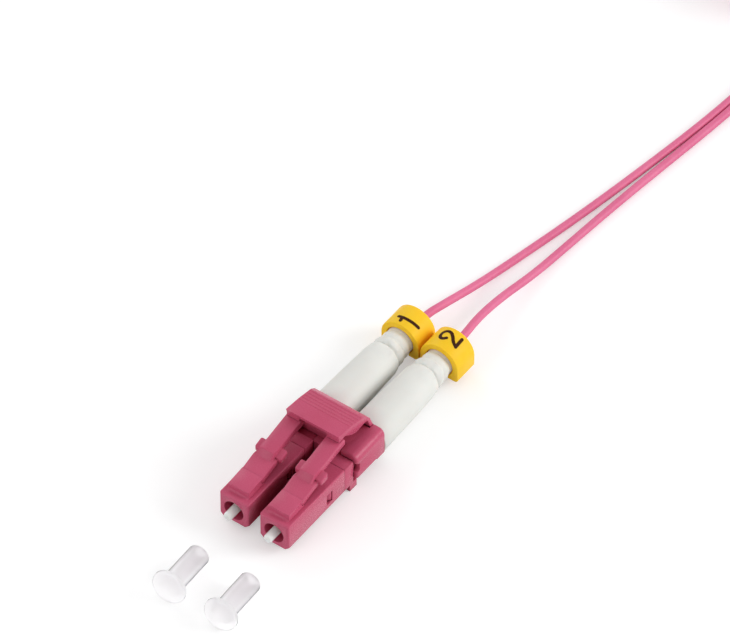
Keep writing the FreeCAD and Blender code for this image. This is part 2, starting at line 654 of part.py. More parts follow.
def coil_tie():
    """A flat band round the far side of the coil's bundle."""
    x, y = COIL_CENTRE
    t = TIE_THICKNESS
    half_bundle = COIL_COLUMNS * COIL_PITCH / 2
    middle = y + COIL_MEAN_RADIUS
    inner = COIL_MEAN_RADIUS - half_bundle
    sag = inner - math.sqrt(inner ** 2 - (TIE_WIDTH / 2) ** 2)
    front = middle - half_bundle - sag - TIE_GAP
    rear = middle + half_bundle + TIE_GAP
    bottom = COIL_BOTTOM - TIE_GAP
    top = COIL_BOTTOM + COIL_ROWS * COIL_PITCH + TIE_GAP
    half = TIE_WIDTH / 2
    band = box(x - half, x + half, front - t, rear + t, bottom - t, top + t)
    band = rounded(band, t, lambda e: runs_along(e, X_AXIS))
    return band.cut(box(x - half, x + half, front, rear, bottom, top))


# -------------------------------------------------------------- build
def build():
    os.makedirs("parts", exist_ok=True)
    channel_pieces = {
        "plug_housing": plug_housing(),
        "latch_lever": latch_lever(),
        "ferrule": ferrule(),
        "ferrule_holder": ferrule_holder(),
        "ferrule_spring": ferrule_spring(),
        "fibre_buffer": fibre_buffer(),
        "rear_body": rear_body(),
        "crimp_sleeve": crimp_sleeve(),
        "boot": boot(),
        "cord_end": cord_end(),
    }
    for number, x in CHANNEL_X.items():
        for name, piece in channel_pieces.items():
            placed = piece.copy()
            placed.translate(V(x, 0, 0))
            save(placed, name + "_" + str(number))
        ring = marker_ring(RING_FRONTS[number - 1])
        ring.translate(V(x, 0, 0))
        save(ring, "marker_ring_" + str(number))
        save(dust_cap(CAP_MOUTHS[number - 1]), "dust_cap_" + str(number))
    save(duplex_clip(), "duplex_clip")
    save(clip_trigger(), "clip_trigger")
    save(cord_tube(LEG_1_ROUTE), "cord_leg_1")
    save(cord_tube(LEG_2_ROUTE), "cord_leg_2")
    save(cord_coil(), "cord_coil")
    save(coil_tie(), "coil_tie")


build()
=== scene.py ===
import json
import math

import bmesh
import bpy
from mathutils import Matrix, Vector, noise

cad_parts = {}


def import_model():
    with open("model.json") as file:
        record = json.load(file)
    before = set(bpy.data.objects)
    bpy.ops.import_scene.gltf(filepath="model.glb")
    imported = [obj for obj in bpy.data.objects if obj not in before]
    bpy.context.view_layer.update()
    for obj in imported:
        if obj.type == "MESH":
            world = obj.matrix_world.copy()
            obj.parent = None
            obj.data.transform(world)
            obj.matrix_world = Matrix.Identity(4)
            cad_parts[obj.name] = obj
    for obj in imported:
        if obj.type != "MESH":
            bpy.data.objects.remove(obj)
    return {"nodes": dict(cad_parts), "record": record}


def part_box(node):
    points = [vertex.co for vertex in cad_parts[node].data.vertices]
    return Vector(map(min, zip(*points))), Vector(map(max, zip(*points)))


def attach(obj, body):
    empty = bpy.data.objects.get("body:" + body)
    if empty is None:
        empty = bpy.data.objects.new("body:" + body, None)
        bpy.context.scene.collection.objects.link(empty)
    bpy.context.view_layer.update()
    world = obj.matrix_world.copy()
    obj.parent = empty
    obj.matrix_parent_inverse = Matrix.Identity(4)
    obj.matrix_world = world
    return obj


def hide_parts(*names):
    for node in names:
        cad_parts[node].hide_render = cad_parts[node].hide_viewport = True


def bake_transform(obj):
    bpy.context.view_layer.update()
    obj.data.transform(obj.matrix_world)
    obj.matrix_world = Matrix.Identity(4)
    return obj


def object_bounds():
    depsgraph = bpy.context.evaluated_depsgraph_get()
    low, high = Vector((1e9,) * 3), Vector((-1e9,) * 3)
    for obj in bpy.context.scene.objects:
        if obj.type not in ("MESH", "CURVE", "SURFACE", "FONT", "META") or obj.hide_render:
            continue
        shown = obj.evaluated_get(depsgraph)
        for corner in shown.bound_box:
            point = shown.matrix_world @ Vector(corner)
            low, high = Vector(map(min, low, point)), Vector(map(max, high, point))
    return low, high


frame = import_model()

# Looks of the duplex fibre connector. Metres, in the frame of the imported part:
# X across the two channels, Y back from the plug noses, Z up.

CAD_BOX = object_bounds()
NODES = frame["nodes"]
MOUNTS = {m["name"]: m for m in frame["record"]["mounts"]}
ROOT = "connector_body"
MM = 0.001
FLOOR_DROP = 0.02 * MM               # keeps the floor clear of the faces that stand on it
FLOOR_Z = CAD_BOX[0].z - FLOOR_DROP
CHANNEL_X = {i: MOUNTS[f"ferrule_{i}"]["pos_m"][0] for i in (1, 2)}

# edges
WELD_DISTANCE = 1e-6
FLAT_ANGLE = math.radians(1)         # flatter joints between faces are dissolved
SHARP_ANGLE = math.radians(28)       # sharper ones are rounded
MOULD_EDGE = 0.1 * MM
MOULD_EDGE_SEGMENTS = 2
TIE_EDGE = 0.04 * MM
TURNED_SPLIT_ANGLE = math.radians(50)
AXIS_GAP = 0.01 * MM                 # a closed end of a turned profile stays this far off the axis

# boot, along the channel from its front face
BOOT_SEGMENTS = 96
BOOT_STATIONS = (
    # distance from the front face, outer radius, depth of the soft folds, in mm
    (0.0, 2.79, 0.0), (0.06, 2.85, 0.0), (3.0, 2.79, 0.0), (6.0, 2.72, 0.0), (8.6, 2.64, 0.0),
    (10.0, 2.58, 0.03), (10.7, 2.55, 0.07), (11.2, 2.52, 0.11), (11.6, 2.48, 0.14), (11.9, 2.43, 0.15),
    (12.1, 2.37, 0.13), (12.22, 2.29, 0.12), (12.32, 2.17, 0.11), (12.4, 2.02, 0.11), (12.48, 1.96, 0.12),
    (12.56, 2.04, 0.15), (12.7, 2.15, 0.17), (12.9, 2.21, 0.18), (13.2, 2.23, 0.18), (13.5, 2.2, 0.17),
    (13.7, 2.13, 0.16), (13.82, 2.02, 0.15), (13.9, 1.97, 0.14), (14.0, 2.0, 0.14), (14.2, 2.06, 0.15),
    (14.5, 2.07, 0.14), (14.8, 2.03, 0.12), (15.0, 1.98, 0.1), (15.12, 1.91, 0.08), (15.22, 1.87, 0.06),
    (15.32, 1.89, 0.04), (15.5, 1.95, 0.01),
    (15.8, 1.98, 0.0), (18.4, 1.98, 0.0), (18.54, 1.94, 0.0), (18.6, 1.86, 0.0),
)
FOLDS_ROUND = 1.8                   # how quickly the folds change round the boot
FOLDS_ALONG = 1.2                   # and along it, per mm
FOLD_SEED = 7.0
FINE_FOLD_SHARE = 0.6               # finer folds on top of the first ones
FINE_FOLD_SCALE = 2.3
BOOT_CORD_BORE = 0.6 * MM           # this and the other bores are radii
BOOT_CORD_BORE_LENGTH = 3.0 * MM
BOOT_MIDDLE_BORE = 1.2 * MM
BOOT_TAPER_LENGTH = 1.8 * MM        # over which the middle bore narrows to the cord's
BOOT_FRONT_BORE = 2.3 * MM

# number rings
RING_OUTER = 2.95 * MM
RING_BORE = 2.08 * MM
RING_SLOT_HALF = 1.35 * MM
RING_FOOT_ROUND = 0.5 * MM
RING_FOOT_STEPS = 5
RING_ARC_STEPS = 48
RING_EDGE = 0.14 * MM
RING_EDGE_SEGMENTS = 3
RING_EDGE_ANGLE = math.radians(40)
STROKE_WIDTH = 0.46 * MM
STROKE_PROUD = 0.015 * MM
STROKE_SUNK = 0.04 * MM
STROKE_CAP_STEPS = 6
STROKE_CURVE_STEPS = 8
NUMERAL_STROKES = (
    # name, ring, and the points that a smooth path goes through, in mm, seen from above
    ("numeral_1_stem", 1, ((-4.2, 36.9), (-2.7, 36.95), (-1.25, 37.1))),
    ("numeral_1_flag", 1, ((-3.62, 36.88), (-3.52, 36.3))),
    ("numeral_2_bow", 2, ((2.98, 37.3), (2.62, 36.96), (2.2, 37.05), (1.98, 37.5), (2.05, 38.05),
                          (2.45, 38.4), (3.0, 38.36), (3.5, 37.98), (4.05, 37.35), (4.63, 37.02))),
    ("numeral_2_base", 2, ((4.63, 37.0), (4.6, 37.8), (4.58, 38.5))),
)

# caps and ferrules
ROUND_SEGMENTS = 72
CAP_TUBE_RADIUS = 1.48 * MM
CAP_TUBE_LENGTH = 6.9 * MM
CAP_HEAD_RADIUS = 2.4 * MM
CAP_HEAD_LENGTH = 0.6 * MM
CAP_HEAD_CHAMFER = 0.2 * MM
CAP_END_RING = 0.3 * MM              # a ring of points part way in on the closed end
CAP_EDGE = 0.07 * MM
CAP_EDGE_SEGMENTS = 3
CAP_EDGE_ANGLE = math.radians(30)
CAP_SPLIT_ANGLE = math.radians(40)
HEAD_SHARE = "head_share"            # attribute: 1 on the points of a cap's head, 0 on its tube
FERRULE_TIP_LENGTH = 0.3 * MM
FERRULE_TIP_ROUND = 0.24 * MM
FERRULE_TIP_STEPS = 8
FIBRE_RADIUS = 0.0625 * MM

# cord
CORD_DIAMETER = 1.1 * MM
CORD_ROUND_RESOLUTION = 4
CORD_SMOOTH_RESOLUTION = 5
CORD_CURVE_ORDER = 3
# the routes and the coil below are in mm
LEG_START_Y = 34.8
LEG_FLOOR_Z = -2.35
COIL_ROW_Z = -1.96
LEG_1_ROUTE = (
    (-3.125, LEG_START_Y, 0), (-3.125, 40.6, 0), (-2.71, 44.6, -0.9), (-1.75, 50.7, -2.0),
    (-0.65, 56.6, LEG_FLOOR_Z), (1.7, 68.0, LEG_FLOOR_Z), (3.85, 80.8, LEG_FLOOR_Z),
    (5.7, 93.9, LEG_FLOOR_Z), (6.73, 106.0, COIL_ROW_Z), (6.73, 116.1, COIL_ROW_Z),
)
LEG_2_ROUTE = (
    (3.125, LEG_START_Y, 0), (3.125, 40.2, 0), (2.55, 44.8, -0.25), (2.5, 50.2, -1.1),
    (3.05, 56.3, -2.05), (3.5, 63.0, LEG_FLOOR_Z), (4.25, 71.5, LEG_FLOOR_Z),
    (5.2, 80.2, LEG_FLOOR_Z), (6.86, 93.9, LEG_FLOOR_Z), (7.85, 106.0, COIL_ROW_Z),
    (7.85, 116.1, COIL_ROW_Z),
)
COIL_CENTRE = (-1.55, 122.5)
COIL_HOLE_RADIUS = 3.24
COIL_PITCH = 1.12
COIL_ROWS = 7
COIL_BANDS = 3                      # each band is one column of each leg
COIL_TURN_POINTS = 16
COIL_ROW_STEP = (230, 310)          # degrees of a turn over which it climbs a row
COIL_BAND_STEP = (190, 270)         # and over which it moves in to the next band

# camera and light
CAMERA_AZIMUTH = math.radians(36.0)
CAMERA_ELEVATION = math.radians(47.9)
CAMERA_DISTANCE = 1.2
CAMERA_CLIP = (0.05, 20)
SENSOR = 36.0
VIEW_WIDTH = 91.7 * MM
VIEW_CENTRE = (13.97 * MM, 25.53 * MM)      # right of and above the origin, in the picture's plane
KEY_DIRECTION = (0.75, 0.48, 0.43)          # from the object towards the light
KEY_LEVEL = 0.5
SIDE_DIRECTION = (-0.8, 0.3, 0.5)
SIDE_LEVEL = 0.17
FRONT_DIRECTION = (-0.39, -0.83, 0.40)
FRONT_LEVEL = 0.15
AMBIENT_LEVEL = 0.58
SOFTBOX_ANGLE = math.radians(34)
FLOOR_SIZE = 3.0
FLOOR_ALBEDO = 0.76
FLOOR_GLOW = 0.36

# materials
WHITE = (1.0, 1.0, 1.0, 1.0)
NOISE_MIDDLE = (0.35, 0.65)                 # most of a noise's values lie between these
TINT_SCALE = 220                            # noise scales are per metre
PLASTIC_DETAIL = 4.0
PLASTIC_GLOSS = (0.05, 0.06)                # how far the roughness goes below and above its middle
GLOW_BY_COLOUR = (1.0, 0.7, 0.6)            # red light goes furthest under the surface
OPENNESS_SAMPLES = 8
PAINTED_SHADE_FADE = (0.05, 0.5)                     # openness over which the painted recess shade gives way to the plain tone
GLOSS_FADE = (0.25, 0.6)                    # openness over which the gloss comes back out of a recess
# painted shade in narrow seams reaches this far
PAINTED_SEAM_REACH = 0.45 * MM
PAINTED_SEAM_FADE = (0.25, 0.62)                    # openness over which the painted seam shade gives way to the plain tone
METAL_SCALE = 1800
METAL_DETAIL = 5.0
METAL_DARK_SHARE = 0.82                     # the darker marks, as a share of the colour
METAL_GLOSS = (0.08, 0.1)
METAL_DEPTH = 0.004 * MM
# the caps' tube and head are lit and shaded copies of one plastic: painted shade on the tube, painted light
# on the head
CAP_TUBE_PAINTED_SHADE = (240, 237, 239)
CAP_HEAD_PAINTED_LIGHT = (255, 254, 255)
# painted shade for the caps' grey rim where they are seen edge on
CAP_PAINTED_RIM_SHADE = (92, 92, 96)
CAP_PAINTED_RIM_BLEND = 0.12
CAP_PAINTED_RIM_FADE = (0.17, 0.42)                 # how far edge on a surface is, as the painted grey rim shade comes in
CAP_ROUGHNESS = 0.42
CAP_TRANSMISSION = 0.88
CAP_IOR = 1.22
CERAMIC_COAT = 0.4
CERAMIC_COAT_ROUGHNESS = 0.08
PILE_SCALE = 9000
PILE_DETAIL = 6.0
PILE_DARK = (38, 38, 40)
PILE_BRIGHT = (84, 84, 88)
PILE_SHEEN = 0.5
PILE_DEPTH = 0.05 * MM
MATT = 0.9                                  # roughness of the pile and of the floor


# ---------------------------------------------------------------- materials
def srgb(r, g, b):
    """A colour given as 0 to 255 on screen, as the linear colour that a shader takes."""
    return tuple(c / 12.92 if c <= 0.04045 else ((c + 0.055) / 1.055) ** 2.4
                 for c in (r / 255, g / 255, b / 255)) + (1.0,)


def new_material(name):
    material = bpy.data.materials.new(name)
    material.use_nodes = True
    tree = material.node_tree
    return material, tree, tree.nodes["Principled BSDF"]


def add(tree, kind, **settings):
    made = tree.nodes.new(kind)
    for key, value in settings.items():
        setattr(made, key, value)
    return made


def noise_texture(tree, scale, detail=3.0, stretch=None):
    """Noise in the part's own metres, so that it has a real size on every piece."""
    place = add(tree, "ShaderNodeTexCoord")
    texture = add(tree, "ShaderNodeTexNoise")
    texture.inputs["Scale"].default_value = scale
    texture.inputs["Detail"].default_value = detail
    source = place.outputs["Object"]
    if stretch:
        mapping = add(tree, "ShaderNodeMapping")
        mapping.inputs["Scale"].default_value = stretch
        tree.links.new(source, mapping.inputs["Vector"])
        source = mapping.outputs["Vector"]
    tree.links.new(source, texture.inputs["Vector"])
    return texture.outputs["Fac"]


def mix_colours(tree, factor, first, second):
    """The first colour where the factor is 0, the second where it is 1. Either may be a socket."""
    mix = add(tree, "ShaderNodeMix", data_type="RGBA")
    tree.links.new(factor, mix.inputs["Factor"])
    # 6 and 7 are the node's colour inputs, and 2 is its colour output
    for value, socket in ((first, mix.inputs[6]), (second, mix.inputs[7])):
        if isinstance(value, tuple):
            socket.default_value = value
        else:
            tree.links.new(value, socket)
    return mix.outputs[2]


def spread(tree, value, low, high, start=NOISE_MIDDLE[0], end=NOISE_MIDDLE[1]):
    """The value's span from start to end, carried over to the span from low to high."""
    ramp = add(tree, "ShaderNodeMapRange")
    for key, number in (("From Min", start), ("From Max", end), ("To Min", low), ("To Max", high)):
        ramp.inputs[key].default_value = number
    tree.links.new(value, ramp.inputs["Value"])
    return ramp.outputs["Result"]


def bumped(tree, shader, height, depth, strength=0.6):
    bump = add(tree, "ShaderNodeBump")
    bump.inputs["Distance"].default_value = depth
    bump.inputs["Strength"].default_value = strength
    tree.links.new(height, bump.inputs["Height"])
    tree.links.new(bump.outputs["Normal"], shader.inputs["Normal"])


def openness(tree, reach):
    """1 on an open surface, and less where something within reach closes it in."""
    occlusion = add(tree, "ShaderNodeAmbientOcclusion", samples=OPENNESS_SAMPLES)
    occlusion.inputs["Distance"].default_value = reach
    return occlusion.outputs["AO"]


def uneven_gloss(tree, marks, roughness, span):
    """A roughness that goes span[0] below and span[1] above its middle, as the marks do."""
    return spread(tree, marks, roughness - span[0], roughness + span[1])


def plastic(name, colour, second, roughness, grain=3500, grain_depth=0.006 * MM, painted_shade=None,
            painted_shade_reach=2.2 * MM, painted_seam_shade=None, subsurface=0.0, glow_radius=0.5 * MM, specular=0.3):
    """A moulded plastic: slow change of tint, fine mould texture and uneven gloss, with a painted shade tone
    and less gloss in recesses, and a painted seam shade in narrow seams."""
    material, tree, shader = new_material(name)
    tint = mix_colours(tree, spread(tree, noise_texture(tree, TINT_SCALE), 0, 1), colour, second)
    # painted shade: the occlusion mixes the painted shade colour into recesses, where shade falls
    if painted_shade:
        shade = openness(tree, painted_shade_reach)
        tint = mix_colours(tree, spread(tree, shade, 0, 1, *PAINTED_SHADE_FADE), painted_shade, tint)
    # painted shade: a short-reach occlusion darkens narrow seams and contact edges between parts
    if painted_seam_shade:
        tint = mix_colours(tree, spread(tree, openness(tree, PAINTED_SEAM_REACH), 0, 1, *PAINTED_SEAM_FADE), painted_seam_shade, tint)
    tree.links.new(tint, shader.inputs["Base Color"])
    fine = noise_texture(tree, grain, PLASTIC_DETAIL)
    gloss = uneven_gloss(tree, fine, roughness, PLASTIC_GLOSS)
    if painted_shade:
        dull = add(tree, "ShaderNodeMath", operation="MAXIMUM")
        tree.links.new(gloss, dull.inputs[0])
        tree.links.new(spread(tree, shade, 1, 0, *GLOSS_FADE), dull.inputs[1])
        gloss = dull.outputs[0]
    tree.links.new(gloss, shader.inputs["Roughness"])
    if grain_depth:
        bumped(tree, shader, fine, grain_depth)
    shader.inputs["Specular IOR Level"].default_value = specular
    if subsurface:
        shader.inputs["Subsurface Weight"].default_value = subsurface
        shader.inputs["Subsurface Radius"].default_value = GLOW_BY_COLOUR
        shader.inputs["Subsurface Scale"].default_value = glow_radius
    return material


def metal(name, colour, roughness, along):
    """Turned or drawn metal, with fine marks along or round it."""
    material, tree, shader = new_material(name)
    marks = noise_texture(tree, METAL_SCALE, METAL_DETAIL, stretch=along)
    dark = tuple(c * METAL_DARK_SHARE for c in colour[:3]) + (1.0,)
    tree.links.new(mix_colours(tree, spread(tree, marks, 0, 1), dark, colour), shader.inputs["Base Color"])
    tree.links.new(uneven_gloss(tree, marks, roughness, METAL_GLOSS), shader.inputs["Roughness"])
    bumped(tree, shader, marks, METAL_DEPTH)
    shader.inputs["Metallic"].default_value = 1.0
    return material


def cap_plastic():
    """Natural soft plastic that lets light through, with the head painted paler and the tube painted greyer
    as lit and shaded copies of one plastic, and a painted grey rim shade where it is seen edge on.
    """
    material, tree, shader = new_material("cap_plastic")
    head = add(tree, "ShaderNodeAttribute", attribute_name=HEAD_SHARE)
    # painted light: the head is painted paler than the tube
    body = mix_colours(tree, head.outputs["Fac"], srgb(*CAP_TUBE_PAINTED_SHADE), srgb(*CAP_HEAD_PAINTED_LIGHT))
    # painted shade: a grey rim where the surface is seen edge on
    painted_rim = add(tree, "ShaderNodeLayerWeight")
    painted_rim.inputs["Blend"].default_value = CAP_PAINTED_RIM_BLEND
    painted_rim_share = spread(tree, painted_rim.outputs["Facing"], 0, 1, *CAP_PAINTED_RIM_FADE)
    tree.links.new(mix_colours(tree, painted_rim_share, body, srgb(*CAP_PAINTED_RIM_SHADE)), shader.inputs["Base Color"])
    shader.inputs["Roughness"].default_value = CAP_ROUGHNESS
    shader.inputs["Transmission Weight"].default_value = CAP_TRANSMISSION
    shader.inputs["IOR"].default_value = CAP_IOR
    return material


def zirconia():
    """The ferrules' white ceramic: dense, polished, and a little translucent."""
    material = plastic("ferrule_ceramic", srgb(240, 242, 239), srgb(233, 235, 232), 0.2,
                       grain=6000, grain_depth=0.001 * MM, subsurface=0.2, glow_radius=0.3 * MM)
    shader = material.node_tree.nodes["Principled BSDF"]
    shader.inputs["Coat Weight"].default_value = CERAMIC_COAT
    shader.inputs["Coat Roughness"].default_value = CERAMIC_COAT_ROUGHNESS
    return material


def hook_and_loop():
    """A short pile: bright and dark fibres a tenth of a millimetre apart."""
    material, tree, shader = new_material("tie_fabric")
    pile = noise_texture(tree, PILE_SCALE, PILE_DETAIL)
    tree.links.new(mix_colours(tree, spread(tree, pile, 0, 1), srgb(*PILE_DARK), srgb(*PILE_BRIGHT)),
                   shader.inputs["Base Color"])
    shader.inputs["Roughness"].default_value = MATT
    shader.inputs["Sheen Weight"].default_value = PILE_SHEEN
    bumped(tree, shader, pile, PILE_DEPTH, strength=1.0)
    return material


def floor_material():
    """Pale floor that keeps the shadow, and reads as white around it."""
    material, tree, shader = new_material("floor")
    shader.inputs["Base Color"].default_value = (FLOOR_ALBEDO,) * 3 + (1.0,)
    shader.inputs["Roughness"].default_value = MATT
    shader.inputs["Emission Color"].default_value = WHITE
    tree.links.new(seen_directly(tree, FLOOR_GLOW), shader.inputs["Emission Strength"])
    return material


def seen_directly(tree, level):
    """The given level for camera, glossy and transmission rays, and 0 for the light on other things."""
    path = add(tree, "ShaderNodeLightPath")
    total = path.outputs["Is Camera Ray"]
    for ray in ("Is Glossy Ray", "Is Transmission Ray"):
        either = add(tree, "ShaderNodeMath", operation="MAXIMUM")
        tree.links.new(total, either.inputs[0])
        tree.links.new(path.outputs[ray], either.inputs[1])
        total = either.outputs[0]
    scaled = add(tree, "ShaderNodeMath", operation="MULTIPLY")
    scaled.inputs[1].default_value = level
    tree.links.new(total, scaled.inputs[0])
    return scaled.outputs[0]


MATERIALS = {
    # painted shade: a deep maroon in the housing's recesses and a darker maroon in its seams
    "housing_plastic": plastic("housing_plastic", srgb(198, 85, 116), srgb(193, 80, 110), 0.26,
                               grain=9000, grain_depth=0.0004 * MM, painted_shade=srgb(150, 4, 44),
                               painted_shade_reach=5.0 * MM, painted_seam_shade=srgb(108, 26, 50), subsurface=0.04,
                               specular=0.2),
    # painted shade: a warm tone in the boots' creases and recesses, standing in for shade with light passed
    # through the soft plastic
    "boot_plastic": plastic("boot_plastic", srgb(231, 231, 226), srgb(226, 226, 221), 0.55,
                            grain=2500, painted_shade=srgb(234, 216, 198), painted_shade_reach=0.9 * MM, subsurface=0.2,
                            glow_radius=0.8 * MM),
    # painted shade: a saturated orange in the rings' recesses, standing in for shade lit by light passed
    # through the plastic
    "ring_plastic": plastic("ring_plastic", srgb(255, 206, 50), srgb(255, 201, 42), 0.4,
                            painted_shade=srgb(255, 180, 0), subsurface=0.3, glow_radius=0.8 * MM, specular=0.1),
    "cap_plastic": cap_plastic(),
    "ferrule_ceramic": zirconia(),
    "holder_metal": metal("holder_metal", (0.72, 0.70, 0.66, 1.0), 0.3, (1, 12, 1)),
    "spring_steel": metal("spring_steel", (0.60, 0.60, 0.61, 1.0), 0.28, (1, 1, 8)),
    "crimp_metal": metal("crimp_metal", (0.70, 0.66, 0.58, 1.0), 0.35, (1, 12, 1)),
    "cord_jacket": plastic("cord_jacket", srgb(229, 116, 155), srgb(222, 107, 147), 0.4,
                           grain=5000, grain_depth=0.004 * MM, subsurface=0.1),
    "buffer_plastic": plastic("buffer_plastic", srgb(240, 240, 236), srgb(232, 232, 228), 0.4),
    "tie_fabric": hook_and_loop(),
    "print_ink": plastic("print_ink", srgb(66, 34, 14), srgb(58, 30, 12), 0.6, specular=0.1),
}


# ---------------------------------------------------------------- geometry
def modifier(obj, kind, **settings):
    made = obj.modifiers.new(kind.title(), kind)
    for key, value in settings.items():
        setattr(made, key, value)


def drop_normals(obj):
    """Removes the imported normals, so that the shading follows the mesh."""
    if "custom_normal" in obj.data.attributes:
        obj.data.attributes.remove(obj.data.attributes["custom_normal"])


def soften(obj, edge):
    """Rounds the sharp edges a little, as a mould does, and shades the rest smooth."""
    for polygon in obj.data.polygons:
        polygon.use_smooth = True
    modifier(obj, "WELD", merge_threshold=WELD_DISTANCE)
    modifier(obj, "DECIMATE", decimate_type="DISSOLVE", angle_limit=FLAT_ANGLE)
    modifier(obj, "BEVEL", width=edge, segments=MOULD_EDGE_SEGMENTS, limit_method="ANGLE",
             angle_limit=SHARP_ANGLE, use_clamp_overlap=True)
    modifier(obj, "EDGE_SPLIT", split_angle=SHARP_ANGLE)


def paint(obj, slot):
    obj.data.materials.clear()
    obj.data.materials.append(MATERIALS[slot])


def mesh_object(name, vertices, faces):
    mesh = bpy.data.meshes.new(name)
    mesh.from_pydata([tuple(v) for v in vertices], [], faces)
    mesh.validate()
    work = bmesh.new()
    work.from_mesh(mesh)
    bmesh.ops.recalc_face_normals(work, faces=work.faces)
    work.to_mesh(mesh)
    work.free()
    for polygon in mesh.polygons:
        polygon.use_smooth = True
    obj = bpy.data.objects.new(name, mesh)
    bpy.context.scene.collection.objects.link(obj)
    return obj


def turned(name, profile, segments, radius_at=None):
    """A closed profile of (along, radius) turned about the local Y axis.
    radius_at(station, radius, angle) may change the radius round the turn."""
    vertices = []
    for station, (along, radius) in enumerate(profile):
        for k in range(segments):
            angle = 2 * math.pi * k / segments
            r = radius_at(station, radius, angle) if radius_at else radius
            vertices.append((r * math.cos(angle), along, r * math.sin(angle)))
    faces = []
    count = len(profile)
    for station in range(count):
        after = (station + 1) % count
        for k in range(segments):
            beside = (k + 1) % segments
            faces.append((station * segments + k, station * segments + beside,
                          after * segments + beside, after * segments + k))
    return mesh_object(name, vertices, faces)


def finish_piece(obj, slot, body, node):
    paint(obj, slot)
    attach(obj, body)
    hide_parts(node)


# ---------------------------------------------------------------- pieces
def carried_over_nodes():
    """The rigid CAD pieces keep their own shapes, with softened edges and their materials."""
    replaced = {f"{name}_{i}" for i in (1, 2)
                for name in ("boot", "marker_ring", "dust_cap", "ferrule", "ferrule_spring", "cord_leg")}
    replaced.add("cord_coil")
    for entry in frame["record"]["subparts"]:
        node = entry["node"]
        if node in replaced:
            continue
        obj = NODES[node]
        drop_normals(obj)
        soften(obj, TIE_EDGE if node == "coil_tie" else MOULD_EDGE)
        paint(obj, entry["material_slot"])


def boot(i):
    """The soft boot: a gently tapered sleeve, uneven folds behind the shoulder, and a slim tail."""
    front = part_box(f"boot_{i}")[0].y
    end = BOOT_STATIONS[-1][0] * MM
    outer = [(along * MM, radius * MM) for along, radius, fold in BOOT_STATIONS]
    bore_step = end - BOOT_CORD_BORE_LENGTH
    inner = [(end, BOOT_CORD_BORE), (bore_step, BOOT_CORD_BORE),
             (bore_step - BOOT_TAPER_LENGTH, BOOT_MIDDLE_BORE), (0.0, BOOT_FRONT_BORE)]
    folds = [fold * MM for along, radius, fold in BOOT_STATIONS]

    def uneven(station, radius, angle):
        if station >= len(folds) or not folds[station]:
            return radius
        point = Vector((math.cos(angle), math.sin(angle), 0)) * FOLDS_ROUND
        point.z = BOOT_STATIONS[station][0] * FOLDS_ALONG + FOLD_SEED * i
        fine = noise.noise(point * FINE_FOLD_SCALE)
        return radius + folds[station] * (noise.noise(point) + FINE_FOLD_SHARE * fine)

    obj = turned(f"soft_boot_{i}", outer + inner, BOOT_SEGMENTS, uneven)
    modifier(obj, "EDGE_SPLIT", split_angle=TURNED_SPLIT_ANGLE)
    obj.location = (CHANNEL_X[i], front, 0)
    finish_piece(obj, "boot_plastic", ROOT, f"boot_{i}")


def ring_outline(bottom):
    """The ring's section across the channel: an arch with two round-footed legs and an open underside."""
    points = []
    for k in range(RING_ARC_STEPS + 1):
        angle = math.pi * k / RING_ARC_STEPS
        points.append((RING_OUTER * math.cos(angle), RING_OUTER * math.sin(angle)))
    points += foot(-RING_OUTER, bottom, 1)
    slot_height = -math.sqrt(RING_BORE ** 2 - RING_SLOT_HALF ** 2)
    points.append((-RING_SLOT_HALF, bottom))
    start = math.atan2(slot_height, -RING_SLOT_HALF)
    end = math.atan2(slot_height, RING_SLOT_HALF)
    sweep = 2 * math.pi + start - end
    for k in range(RING_ARC_STEPS + 1):
        angle = start - sweep * k / RING_ARC_STEPS
        points.append((RING_BORE * math.cos(angle), RING_BORE * math.sin(angle)))
    points.append((RING_SLOT_HALF, bottom))
    points += foot(RING_OUTER, bottom, -1)
    return points


def foot(x, bottom, inward):
    """The rounded outer corner of a leg, from its outer side to its underside, or back on the other leg."""
    centre = (x + inward * RING_FOOT_ROUND, bottom + RING_FOOT_ROUND)
    corner = []
    for k in range(RING_FOOT_STEPS + 1):
        angle = math.pi / 2 * k / RING_FOOT_STEPS
        corner.append((centre[0] - inward * RING_FOOT_ROUND * math.cos(angle),
                       centre[1] - RING_FOOT_ROUND * math.sin(angle)))
    return corner if inward > 0 else corner[::-1]


def number_ring(i):
    """A clip-on ring, as long as its CAD node, with rounded edges."""
    low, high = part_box(f"marker_ring_{i}")
    outline = ring_outline(low.z)
    count = len(outline)
    vertices = [(CHANNEL_X[i] + x, y, z) for y in (low.y, high.y) for x, z in outline]
    faces = [tuple(range(count)), tuple(range(2 * count - 1, count - 1, -1))]
    faces += [(k, (k + 1) % count, count + (k + 1) % count, count + k) for k in range(count)]
    obj = mesh_object(f"number_ring_{i}", vertices, faces)
    modifier(obj, "BEVEL", width=RING_EDGE, segments=RING_EDGE_SEGMENTS, limit_method="ANGLE",
             angle_limit=RING_EDGE_ANGLE)
    modifier(obj, "EDGE_SPLIT", split_angle=SHARP_ANGLE)
    finish_piece(obj, "ring_plastic", ROOT, f"marker_ring_{i}")


def ferrule_spring(i):
    """The spring behind a ferrule. Its front turn follows the ferrule, and its last turn stays in the
    rear body."""
    node = f"ferrule_spring_{i}"
    obj = bpy.data.objects.new(f"coil_spring_{i}", NODES[node].data.copy())
    bpy.context.scene.collection.objects.link(obj)
    drop_normals(obj)
    for polygon in obj.data.polygons:
        polygon.use_smooth = True
    paint(obj, "spring_steel")
    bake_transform(obj)
    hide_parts(node)


